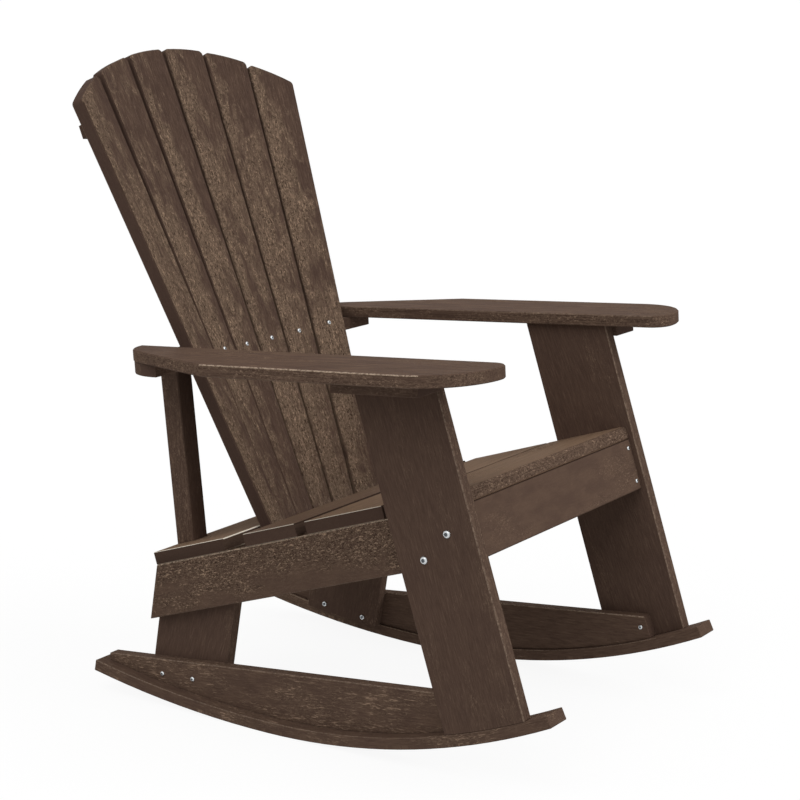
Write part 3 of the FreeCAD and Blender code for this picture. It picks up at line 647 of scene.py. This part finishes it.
def soften(bm, sawn_edge):
    """Rounds the sawn edges more and the chamfers' corners less, where they are long enough."""
    for least, most, offset in ((SQUARE_FROM, STRAIGHT_BACK, sawn_edge),
                                (CHAMFER_FROM, SQUARE_FROM, CHAMFER_EDGE)):
        sharp = [edge for edge in bm.edges
                 if len(edge.link_faces) == 2 and edge.calc_length() >= SHORTEST_EDGE
                 and math.radians(least) < edge.calc_face_angle() <= math.radians(most)]
        round_off(bm, sharp, offset)
    bmesh.ops.recalc_face_normals(bm, faces=bm.faces)


print("the corners of chamfers are rounded by up to", CHAMFER_EDGE * 1000, "mm")

# %% [markdown]
# Grain runs the long way of a board. The broadest face gives the way through the board,
# its longest edges give the way along, and the third way follows. The way along points up,
# and the way across to the chair's left, or up on a board that faces sideways, so a
# pattern that leans does so the same way on every board of a kind.

# %% Which way a board runs
LEFT_OR_UP = Vector((1, 0, 0.3))
UP = Vector((0, 0, 1))
FACES_SIDEWAYS = 0.7


def board_frame(bm):
    """The board's middle, and unit vectors along it, across it and through it."""
    broad = max(bm.faces, key=lambda face: face.calc_area())
    through = broad.normal.copy()
    rims = sorted(broad.edges, key=lambda edge: -edge.calc_length())
    along = Vector()
    for edge in rims[:2]:
        run = (edge.verts[1].co - edge.verts[0].co)
        along += run if run.dot(along) >= 0 else -run
    along.normalize()
    if along.z < 0:
        along.negate()
    across = through.cross(along)
    if across.dot(LEFT_OR_UP if abs(through.x) < FACES_SIDEWAYS else UP) < 0:
        across.negate()
    corners = [vert.co for vert in bm.verts]
    middle = sum(corners, Vector()) / len(corners)
    centre = middle.copy()
    for axis in (along, across, through):
        places = [corner.dot(axis) for corner in corners]
        centre += axis * ((min(places) + max(places)) / 2 - middle.dot(axis))
    return centre, along, across, through


sample = merged_copy("front_apron")
print("the apron runs along", tuple(round(part, 2) for part in board_frame(sample)[1]))
sample.free()

# %% [markdown]
# The back slats taper, so the finish has to know how wide a board is at each place. The
# widest corner of each half gives a straight line of widths, which is enough for boards.

# %% How wide a board is
LEAST_RUN = 0.001


def half_width_line(bm, place):
    """Half the board's width in its middle, how it grows along it, and half its length."""
    centre, along, across = place[:3]
    ends = {}
    for vert in bm.verts:
        run = (vert.co - centre).dot(along)
        ends.setdefault(run > 0, []).append((run, abs((vert.co - centre).dot(across))))
    low_run, low = max(ends[False], key=lambda item: item[1])
    high_run, high = max(ends[True], key=lambda item: item[1])
    growth = (high - low) / max(high_run - low_run, LEAST_RUN)
    return low - growth * low_run, growth, max(high_run, -low_run)


sample = merged_copy("right_back_slat_1")
width = 2 * half_width_line(sample, board_frame(sample))[0]
print("a slat is", round(width * 1000), "mm wide in its middle")
sample.free()

# %% [markdown]
# The grain of a bent tread follows its bend. Its place is measured round the two arcs that
# the tread is bent to: how far along the arc from the lowest point, and how deep in it.

# %% Bent grain
TREAD_LOW_Y = 0.0435
TREAD_RADIUS_FRONT = 1.240
TREAD_RADIUS_REAR = 2.000
TREAD_MIDDLE_X = 0.2585


def bent_place(point):
    """Along, across and through a bent tread."""
    ahead = point.y < TREAD_LOW_Y
    radius = TREAD_RADIUS_FRONT if ahead else TREAD_RADIUS_REAR
    arm = Vector((0, point.y - TREAD_LOW_Y, point.z - radius))
    across = point.x - math.copysign(TREAD_MIDDLE_X, point.x)
    return Vector((radius * math.atan2(arm.y, -arm.z), across, radius - arm.length))


print("tread radii:", TREAD_RADIUS_FRONT, TREAD_RADIUS_REAR)

# %% [markdown]
# Edges are marked by place. Upper edges get rubbing and painted highlight, lower ones hardly,
# and of an arm's edges the straight outer one most, where a hand slides and light catches it.
# The same weight sets how much painted shade a rim takes. The kinds of face follow from how
# far a face turns from the broad one: a full turn is a side or an end, a part of it a rim or tip.

# %% Kinds of face
ARM_INNER_X = 0.24
ARM_OUTER_X = 0.375
ARM_LOW_Z = 0.6
FACES_UP = 0.1
LITTLE, HARDLY = 0.15, 0.1
FULL_TURN, TIP_FROM, RIM_FROM = 0.2, 0.97, 0.95
TIP_LENGTHWISE, END_LENGTHWISE = 0.2, 0.93
TIP_BELOW = 0.2


def rim_weight(face):
    """How strongly a rim's rubbing, painted highlight and painted shade show: fully on upper
    edges, and of an arm's edges on the outer upper one.
    """
    middle = face.calc_center_median()
    upper = face.normal.z > FACES_UP
    if abs(middle.x) > ARM_INNER_X and middle.z > ARM_LOW_Z:
        return 1.0 if abs(middle.x) > ARM_OUTER_X and upper else LITTLE
    return 1.0 if upper else HARDLY


def store_kinds(bm, along, through):
    """Writes what kind each face is."""
    kinds = {kind: bm.faces.layers.float.new(kind) for kind in FACE_KINDS}
    for face in bm.faces:
        flat = abs(face.normal.dot(through))
        lengthwise = abs(face.normal.dot(along))
        if FULL_TURN < flat < TIP_FROM and lengthwise > TIP_LENGTHWISE:
            # upward tips take the full painted highlight, lower ones a fifth of it
            face[kinds["tip"]] = 1.0 if face.normal.z > FACES_UP else TIP_BELOW
        elif FULL_TURN < flat < RIM_FROM:
            face[kinds["rim"]] = rim_weight(face)
        elif flat <= FULL_TURN:
            face[kinds["end" if lengthwise > END_LENGTHWISE else "side"]] = 1.0


print("face kinds:", FACE_KINDS)

# %% [markdown]
# Each corner stores where it lies in the board, in metres: along it, across it and through
# it. An attribute holds these, because a texture's usual coordinates know only the whole
# chair. The board's own shift is added, so that its noise starts somewhere else.

# %% Stored places
LEAST_HALF_WIDTH = 0.01
SHIFT_THROUGH = 0.37


def store_places(bm, place, line, shift, bent):
    """Writes each corner's place in the board, moved on by the board's own shift."""
    centre, along, across, through = place
    grain = bm.verts.layers.float_vector.new("grain")
    half = bm.verts.layers.float.new("half_width")
    run = bm.verts.layers.float.new("run")
    middle_half, growth, half_length = line
    for vert in bm.verts:
        offset = vert.co - centre
        spot = Vector((offset.dot(along), offset.dot(across), offset.dot(through)))
        if bent:
            spot = bent_place(vert.co)
        vert[half] = max(middle_half + growth * spot.x, LEAST_HALF_WIDTH)
        vert[run] = spot.x / half_length
        vert[grain] = spot + Vector((shift, 0, shift * SHIFT_THROUGH))


print("a shift of one metre along moves the noise", SHIFT_THROUGH, "m through the board")

# %% [markdown]
# Some boards need more than soft edges. The rear seat board reaches a little lower between
# the rails than on them, as a board with a rebate at each end does. Only its underside is
# pulled down: it is cut at the rails' inner faces first, so that the ends stay.

# %% Reach between the rails
RAIL_INNER_X = 0.235
REBATE = 0.0065
SAME_FACING = 0.99


def new_of(made, kind):
    """What an operator made, of one kind."""
    return [item for item in made["geom"] if isinstance(item, kind)]


def reach_down(bm, place):
    """Lowers a board's underside between the rails."""
    for side in (-1, 1):
        bmesh.ops.bisect_plane(bm, geom=bm.verts[:] + bm.edges[:] + bm.faces[:],
                               plane_co=(side * RAIL_INNER_X, 0, 0), plane_no=(1, 0, 0))
    through = place[3] if place[3].z > 0 else -place[3]
    below = [face for face in bm.faces if face.normal.dot(through) < -SAME_FACING
             and abs(face.calc_center_median().x) < RAIL_INNER_X]
    made = bmesh.ops.extrude_face_region(bm, geom=below)
    bmesh.ops.delete(bm, geom=below, context="FACES")
    bmesh.ops.translate(bm, verts=new_of(made, bmesh.types.BMVert), vec=through * -REBATE)
    bmesh.ops.recalc_face_normals(bm, faces=bm.faces)


print("the rear seat board reaches", REBATE * 1000, "mm lower")

# %% [markdown]
# The corners of the brace's two ends are eased. Short edges beside them hold this bevel
# back, so it takes off far less than a millimetre, and the ends still look square. The back
# slats are a little wider towards their feet, where the gaps of the real ones are finer:
# each corner moves outward by its share of the way down, so the sides stay straight.

# %% Brace ends and slat feet
BRACE_CORNER = 0.006
CORNER_FROM = math.radians(60)
STRAIGHT_ACROSS = 1e-4
STEEP = 0.6
FOOT_GROWS = 0.0015
OUTER_FOOT_GROWS = 0.0038


def round_ends(bm):
    """Eases the corners of a brace's two ends."""
    corners = [edge for edge in bm.edges if len(edge.link_faces) == 2
               and abs(edge.verts[0].co.x - edge.verts[1].co.x) < STRAIGHT_ACROSS
               and abs(edge.verts[0].co.z - edge.verts[1].co.z) < STEEP * edge.calc_length()
               and edge.calc_face_angle() > CORNER_FROM]
    round_off(bm, corners, BRACE_CORNER, segments=3)


def widen_foot(bm, place, right_side, left_side):
    """Widens a slat towards its foot."""
    centre, along, across = place[:3]
    length = max(abs((vert.co - centre).dot(along)) for vert in bm.verts)
    for vert in bm.verts:
        offset = vert.co - centre
        if offset.dot(along) < 0:
            grow = left_side if offset.dot(across) > 0 else -right_side
            vert.co += across * grow * -offset.dot(along) / length


print("slat feet are wider by", FOOT_GROWS * 1000, "mm a side")

# %% [markdown]
# A board's shape is now made in one go. How far the rounding of its sawn edges may reach
# differs from board to board: most on the seat, least on the slats. These are upper limits,
# because the short edges of a chamfer hold a bevel back.

# %% Shape one board
SAWN_EDGE = 0.0014
SLAT_EDGE = 0.0010
CUT_END_EDGE = 0.0036


def edge_of(name):
    """How far the rounding of a board's sawn edges may reach."""
    if "seat" in name:
        return CUT_END_EDGE
    return SLAT_EDGE if "back_slat" in name else SAWN_EDGE


def shape_board(name):
    """The board's bmesh with its changes of shape, and its frame."""
    bm = merged_copy(name)
    place = board_frame(bm)
    if name == "rear_seat_board":
        reach_down(bm, place)
    if name == "upper_brace":
        round_ends(bm)
    if "back_slat" in name:
        left_side = OUTER_FOOT_GROWS if name == "left_back_slat_3" else FOOT_GROWS
        widen_foot(bm, place, FOOT_GROWS, left_side)
    return bm, place


for name in ("wide_seat_slat", "right_back_slat_1", "right_front_leg"):
    print(name, "is rounded by up to", edge_of(name) * 1000, "mm")

# %% [markdown]
# One function takes a solid through all steps. The board replaces its solid and rides where
# the solid did. A weighted-normal modifier keeps the large faces flat in the shading, so
# only the rounded edges turn the light.

# %% Dress one board
SHARP_FROM = math.radians(50)
STRONGEST = 100


def dress(name, finish, shift):
    """Replaces a solid by its dressed board."""
    bm, place = shape_board(name)
    line = half_width_line(bm, place)
    soften(bm, edge_of(name))
    store_places(bm, place, line, shift, bent="tread" in name)
    store_kinds(bm, place[1], place[3])
    mesh = bpy.data.meshes.new(name + "_board")
    bm.to_mesh(mesh)
    count = len(bm.faces)
    bm.free()
    mesh.shade_smooth()
    mesh.set_sharp_from_angle(angle=SHARP_FROM)
    mesh.materials.append(FINISHES[finish])
    board = bpy.data.objects.new(name + "_board", mesh)
    scene.collection.objects.link(board)
    flat = board.modifiers.new("flat_faces", "WEIGHTED_NORMAL")
    flat.keep_sharp = True
    flat.weight = STRONGEST
    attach(board, "root")
    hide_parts(name)
    return count


print("edges stay sharp from", round(math.degrees(SHARP_FROM)), "degrees")

# %% [markdown]
# Every board is dressed in turn, and the first entry that fits its name gives its finish.
# Each board starts its noise further on than the last, so no two show the same grain.

# %% Dress the boards
BOARD_FINISHES = {
    "left_back_slat": "far_slat", "back_slat": "slat", "side_rail": "rail",
    "front_leg": "leg", "rear_leg": "leg", "arm_bracket": "leg", "back_post": "leg",
    "cross_rail": "leg", "upper_brace": "leg", "_arm": "arm", "front_apron": "apron",
    "front_seat_slat": "nose", "narrow_seat_slat": "low", "seat_slat": "seat",
    "seat_board": "seat", "left_runner_board": "fine", "left_runner_tread": "fine",
    "runner_board": "runner", "runner_tread": "runner",
}
NEXT_BOARD = 3.7
BOARDS = {}
for name in nodes:
    for part, finish in BOARD_FINISHES.items():
        if part in name and name not in BOARDS:
            BOARDS[name] = finish
for number, (name, finish) in enumerate(sorted(BOARDS.items())):
    faces = dress(name, finish, NEXT_BOARD * (number + 1))
    print("%-22s %-8s %4d faces" % (name, finish, faces))

# %% [markdown]
# ## Steel
# The bolts and screws are stainless. Bright steel is mostly what it mirrors, so it is
# fully metallic, its own colour is a light grey, and fine turning marks blur what it
# mirrors a little. The sockets and the bolts' ends get a dark steel: painted shade, for the
# shade inside a socket and on a threaded end.

# %% Steel finish
MARKS_SIZE = 900.0
MARKS_DEPTH = 0.0001
MARKS_STRENGTH = 0.5


def steel(name, colour, low, high):
    """Metal whose roughness wanders between two values."""
    material, tree = new_material(name)
    place = node(tree, "TexCoord").outputs["Object"]
    pattern = {"Vector": place, "Scale": MARKS_SIZE, "Detail": 2.0}
    marks = node(tree, "TexNoise", pattern).outputs["Fac"]
    bump = node(tree, "Bump", {"Height": marks, "Distance": MARKS_DEPTH,
                               "Strength": MARKS_STRENGTH})
    shader = node(tree, "BsdfPrincipled", {"Base Color": colour, "Metallic": 1.0,
                                           "Roughness": ramp(tree, marks, 0.3, 0.7, low, high),
                                           "Normal": bump.outputs[0]})
    node(tree, "OutputMaterial", {"Surface": shader.outputs[0]})
    return material


BRIGHT_STEEL = steel("bright_steel", (0.60, 0.62, 0.63, 1), 0.30, 0.44)
# dark steel for sockets and bolt ends: painted shade
PAINTED_SOCKET_SHADE = steel("socket_painted_shade", (0.10, 0.11, 0.12, 1), 0.40, 0.60)
FASTENER_SLOTS = (BRIGHT_STEEL, PAINTED_SOCKET_SHADE)
print("steel finishes:", BRIGHT_STEEL.name, PAINTED_SOCKET_SHADE.name)

# %% [markdown]
# ## Bolts and screws
# A button head is a low dome with a six-sided socket, and a screw has a smaller dome with a
# square one. Each is turned round its axis from a half profile, as on a lathe, and the socket
# is let into the top: the rim of the dome is drawn in to the socket's outline and pushed
# down.

# %% Rims and turning
AROUND = 24
SEAM = 1e-7


def rim_at(bm, height):
    """The edges of the open rim at one height."""
    return [edge for edge in bm.edges if edge.is_boundary
            and all(abs(vert.co.z - height) < SAME_SPOT for vert in edge.verts)]


def turn_profile(bm, profile):
    """Spins a half profile of (radius, height) points round Z."""
    verts = [bm.verts.new((radius, 0, height)) for radius, height in profile]
    edges = [bm.edges.new(pair) for pair in zip(verts, verts[1:])]
    bmesh.ops.spin(bm, geom=verts + edges, cent=(0, 0, 0), axis=(0, 0, 1), angle=math.tau,
                   steps=AROUND, use_merge=True)
    bmesh.ops.remove_doubles(bm, verts=bm.verts, dist=SEAM)


def draw_in(bm, edges, sides, flat, drop):
    """Pushes a rim in to a regular outline and down; gives back the new rim."""
    made = bmesh.ops.extrude_edge_only(bm, edges=edges)
    for vert in new_of(made, bmesh.types.BMVert):
        step = math.tau / sides
        turn = math.atan2(vert.co.y, vert.co.x) % step - step / 2
        reach = flat / math.cos(turn)
        flat_spot = Vector((vert.co.x, vert.co.y, 0)).normalized() * reach
        vert.co = Vector((flat_spot.x, flat_spot.y, vert.co.z - drop))
    return new_of(made, bmesh.types.BMEdge)


print("turned in", AROUND, "steps")

# %% [markdown]
# The dome is written as shares of the head's radius and rise, so one profile serves every
# head. The shank is hidden in the boards, so it stays plain.

# %% Turned heads
DOME = ((0.96, 0), (1.0, 0.12), (0.99, 0.32), (0.90, 0.62), (0.76, 0.85), (0.60, 0.97),
        (0.52, 1.0))
SOCKET_RIM, SOCKET_FLAT, SOCKET_DROP = 0.46, 0.43, 0.25
SHANK_TIP, SHANK_TAPER = 0.7, 0.0008


def head(radius, rise, sides, shank, length):
    """A domed head with a socket on a shank, seated on z = 0, shank along -Z."""
    bm = bmesh.new()
    profile = [(shank * SHANK_TIP, -length), (shank, -length + SHANK_TAPER), (shank, 0)]
    profile += [(radius * wide, rise * high) for wide, high in DOME]
    turn_profile(bm, profile)
    rim = draw_in(bm, rim_at(bm, rise), sides, radius * SOCKET_RIM, 0)
    before = set(bm.faces)
    rim = draw_in(bm, rim, sides, radius * SOCKET_FLAT, rise * SOCKET_DROP)
    bmesh.ops.edgeloop_fill(bm, edges=rim)
    # the socket faces take the dark steel, painted shade
    for face in set(bm.faces) - before:
        face.material_index = 1
    bmesh.ops.edgeloop_fill(bm, edges=rim_at(bm, -length))
    bmesh.ops.recalc_face_normals(bm, faces=bm.faces)
    return bm


print("dome points:", len(DOME))

# %% [markdown]
# ## Nuts
# A nut is a six-sided block with its upper corners off, and the bolt's end stands out of
# it. The end is dark, as a threaded end in its own shade looks from any distance. Pulling
# the outline up and rounding its top edges is quicker than cutting a thread no one sees.

# %% Hexagon nuts
NUT_CORNER = 0.1
BOLT_FROM = 0.5
BOLT_END_TAPER, BOLT_END_TIP = 0.0006, 0.8


def draw_up(bm, edges, height):
    """Extrudes a rim straight up and gives back its new edges."""
    made = bmesh.ops.extrude_edge_only(bm, edges=edges)
    bmesh.ops.translate(bm, verts=new_of(made, bmesh.types.BMVert), vec=(0, 0, height))
    return new_of(made, bmesh.types.BMEdge)


def hex_nut(radius, height, bore, stands_out):
    """A nut with rounded corners and the end of its bolt, seated on z = 0."""
    bm = bmesh.new()
    bmesh.ops.create_circle(bm, cap_ends=False, segments=6, radius=radius)
    ring = draw_up(bm, list(bm.edges), height)
    top = bmesh.ops.edgeloop_fill(bm, edges=ring)["faces"]
    round_off(bm, [edge for face in top for edge in face.edges], radius * NUT_CORNER)
    bmesh.ops.edgeloop_fill(bm, edges=rim_at(bm, 0))
    tip = bmesh.new()
    low, high = height * BOLT_FROM, height + stands_out
    turn_profile(tip, [(bore, low), (bore, high - BOLT_END_TAPER), (bore * BOLT_END_TIP, high)])
    for level in (low, high):
        bmesh.ops.edgeloop_fill(tip, edges=rim_at(tip, level))
    for made in (bm, tip):
        bmesh.ops.recalc_face_normals(made, faces=made.faces)
    # the bolt's end takes the dark steel, painted shade
    for face in tip.faces:
        face.material_index = 1
    return bm, tip


print("nut corners rounded by", NUT_CORNER, "of the radius")

# %% [markdown]
# ## Where the fasteners sit
# The solids of the fasteners are plain stand-ins in the right places. The places are read
# from them, not typed again, so a moved bolt takes its head along: a node falls apart into
# its separate solids, and the face that stands out furthest is where the head is.

# %% Places of the solids
SAME_LEVEL = 1e-4


def islands(name):
    """The separate solids of a node, each as a list of its faces' corner places."""
    bm = bmesh.new()
    bm.from_mesh(nodes[name].data)
    bmesh.ops.remove_doubles(bm, verts=bm.verts, dist=SAME_SPOT)
    left, found = set(bm.verts), []
    while left:
        reached, queue = set(), [left.pop()]
        while queue:
            vert = queue.pop()
            if vert not in reached:
                reached.add(vert)
                queue.extend(edge.other_vert(vert) for edge in vert.link_edges)
        left -= reached
        found.append([vert.co.copy() for vert in reached])
    bm.free()
    return found


def seats(name, direction, rise):
    """Where each head sits: the middle of its underside, and which way it faces."""
    found = []
    for corners in islands(name):
        middle = sum(corners, Vector()) / len(corners)
        way = direction(middle)
        far = max(corner.dot(way) for corner in corners)
        top = [corner for corner in corners if far - corner.dot(way) < SAME_LEVEL]
        found.append((sum(top, Vector()) / len(top) - way * rise, way))
    return found


print("leg bolts found:", len(islands("leg_bolts")))

# %% [markdown]
# Bolts go in from outside. Nuts and the screws at the runners' fronts face inward, the
# apron's screws stand square on the tilted apron, and each screw of the back stands square
# on its own slat.

# %% Ways that the heads face
SEAT_SLOPE = math.radians(17.85)


def from_outside(spot):
    return Vector((math.copysign(1, spot.x), 0, 0))


def from_inside(spot):
    return Vector((-math.copysign(1, spot.x), 0, 0))


def from_front(spot):
    """The same way for every spot."""
    return Vector((0, -math.cos(SEAT_SLOPE), math.sin(SEAT_SLOPE)))


def square_to_slat(spot):
    """The way the nearest back slat faces."""
    names = [name for name in nodes if "back_slat" in name]

    def distance(name):
        low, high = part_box(name)
        return abs((low[0] + high[0]) / 2 - spot.x)
    bm = merged_copy(min(names, key=distance))
    way = board_frame(bm)[3]
    bm.free()
    return way if way.y < 0 else -way


print("apron screws face", tuple(round(part, 2) for part in from_front(Vector())))

# %% [markdown]
# Fasteners of one kind are one piece, as they are one node: each spot gets a turned copy
# of the same small mesh, and the copies are joined.

# %% Copies on the spots
HEAD_SHARP_FROM = math.radians(40)


def place_copies(name, stem, makers, spots):
    """Puts a copy of a small bmesh on each spot, all in one piece that replaces a node."""
    whole = bmesh.new()
    for spot, way in spots:
        turn = way.to_track_quat("Z", "Y").to_matrix().to_4x4()
        for maker in makers:
            single = maker.copy()
            bmesh.ops.transform(single, matrix=Matrix.Translation(spot) @ turn, verts=single.verts)
            carrier = bpy.data.meshes.new("carrier")
            single.to_mesh(carrier)
            whole.from_mesh(carrier)
            bpy.data.meshes.remove(carrier)
            single.free()
    mesh = bpy.data.meshes.new(stem)
    whole.to_mesh(mesh)
    whole.free()
    mesh.shade_smooth()
    mesh.set_sharp_from_angle(angle=HEAD_SHARP_FROM)
    for slot in FASTENER_SLOTS:
        mesh.materials.append(slot)
    piece = bpy.data.objects.new(stem, mesh)
    scene.collection.objects.link(piece)
    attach(piece, "root")
    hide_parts(name)
    print("%-28s %d places" % (stem, len(spots)))


print("fastener slots:", [slot.name for slot in FASTENER_SLOTS])

# %% [markdown]
# Five kinds of head and two of nut fit the chair. The apron's right screws sit a little
# further out than their solids, where the leg hides them as it does in the photograph.

# %% Fit the fasteners
BOLT_RISE = 0.0036
SCREW_RISE = 0.002
APRON_SHIFT = Vector((0.006, 0, 0))
# node, the way it faces, the solid head's rise, and radius, rise, socket sides, shank and length
HEADS = (
    ("leg_bolts", from_outside, BOLT_RISE, (0.0066, 0.0036, 6, 0.004, 0.050)),
    ("runner_bolts", from_outside, SCREW_RISE, (0.0042, 0.0022, 6, 0.003, 0.047)),
    ("runner_front_screws", from_inside, SCREW_RISE, (0.0040, 0.0021, 4, 0.0024, 0.034)),
    ("apron_screws", from_front, SCREW_RISE, (0.0038, 0.0021, 4, 0.0024, 0.048)),
    ("back_screws", square_to_slat, SCREW_RISE, (0.0040, 0.0021, 4, 0.0024, 0.034)),
)
# node, the solid nut's height, and radius, height, the bolt's radius and how far it stands out
NUTS = (
    ("leg_bolt_nuts", 0.006, (0.0074, 0.006, 0.004, 0.0015)),
    ("runner_bolt_nuts", 0.003, (0.0048, 0.003, 0.0028, 0.0012)),
)
for name, direction, rise, sizes in HEADS:
    spots = seats(name, direction, rise)
    if name == "apron_screws":
        spots = [(spot - APRON_SHIFT if spot.x < 0 else spot, way) for spot, way in spots]
    place_copies(name, name + "_turned", (head(*sizes),), spots)
for name, rise, sizes in NUTS:
    place_copies(name, name + "_turned", hex_nut(*sizes), seats(name, from_inside, rise))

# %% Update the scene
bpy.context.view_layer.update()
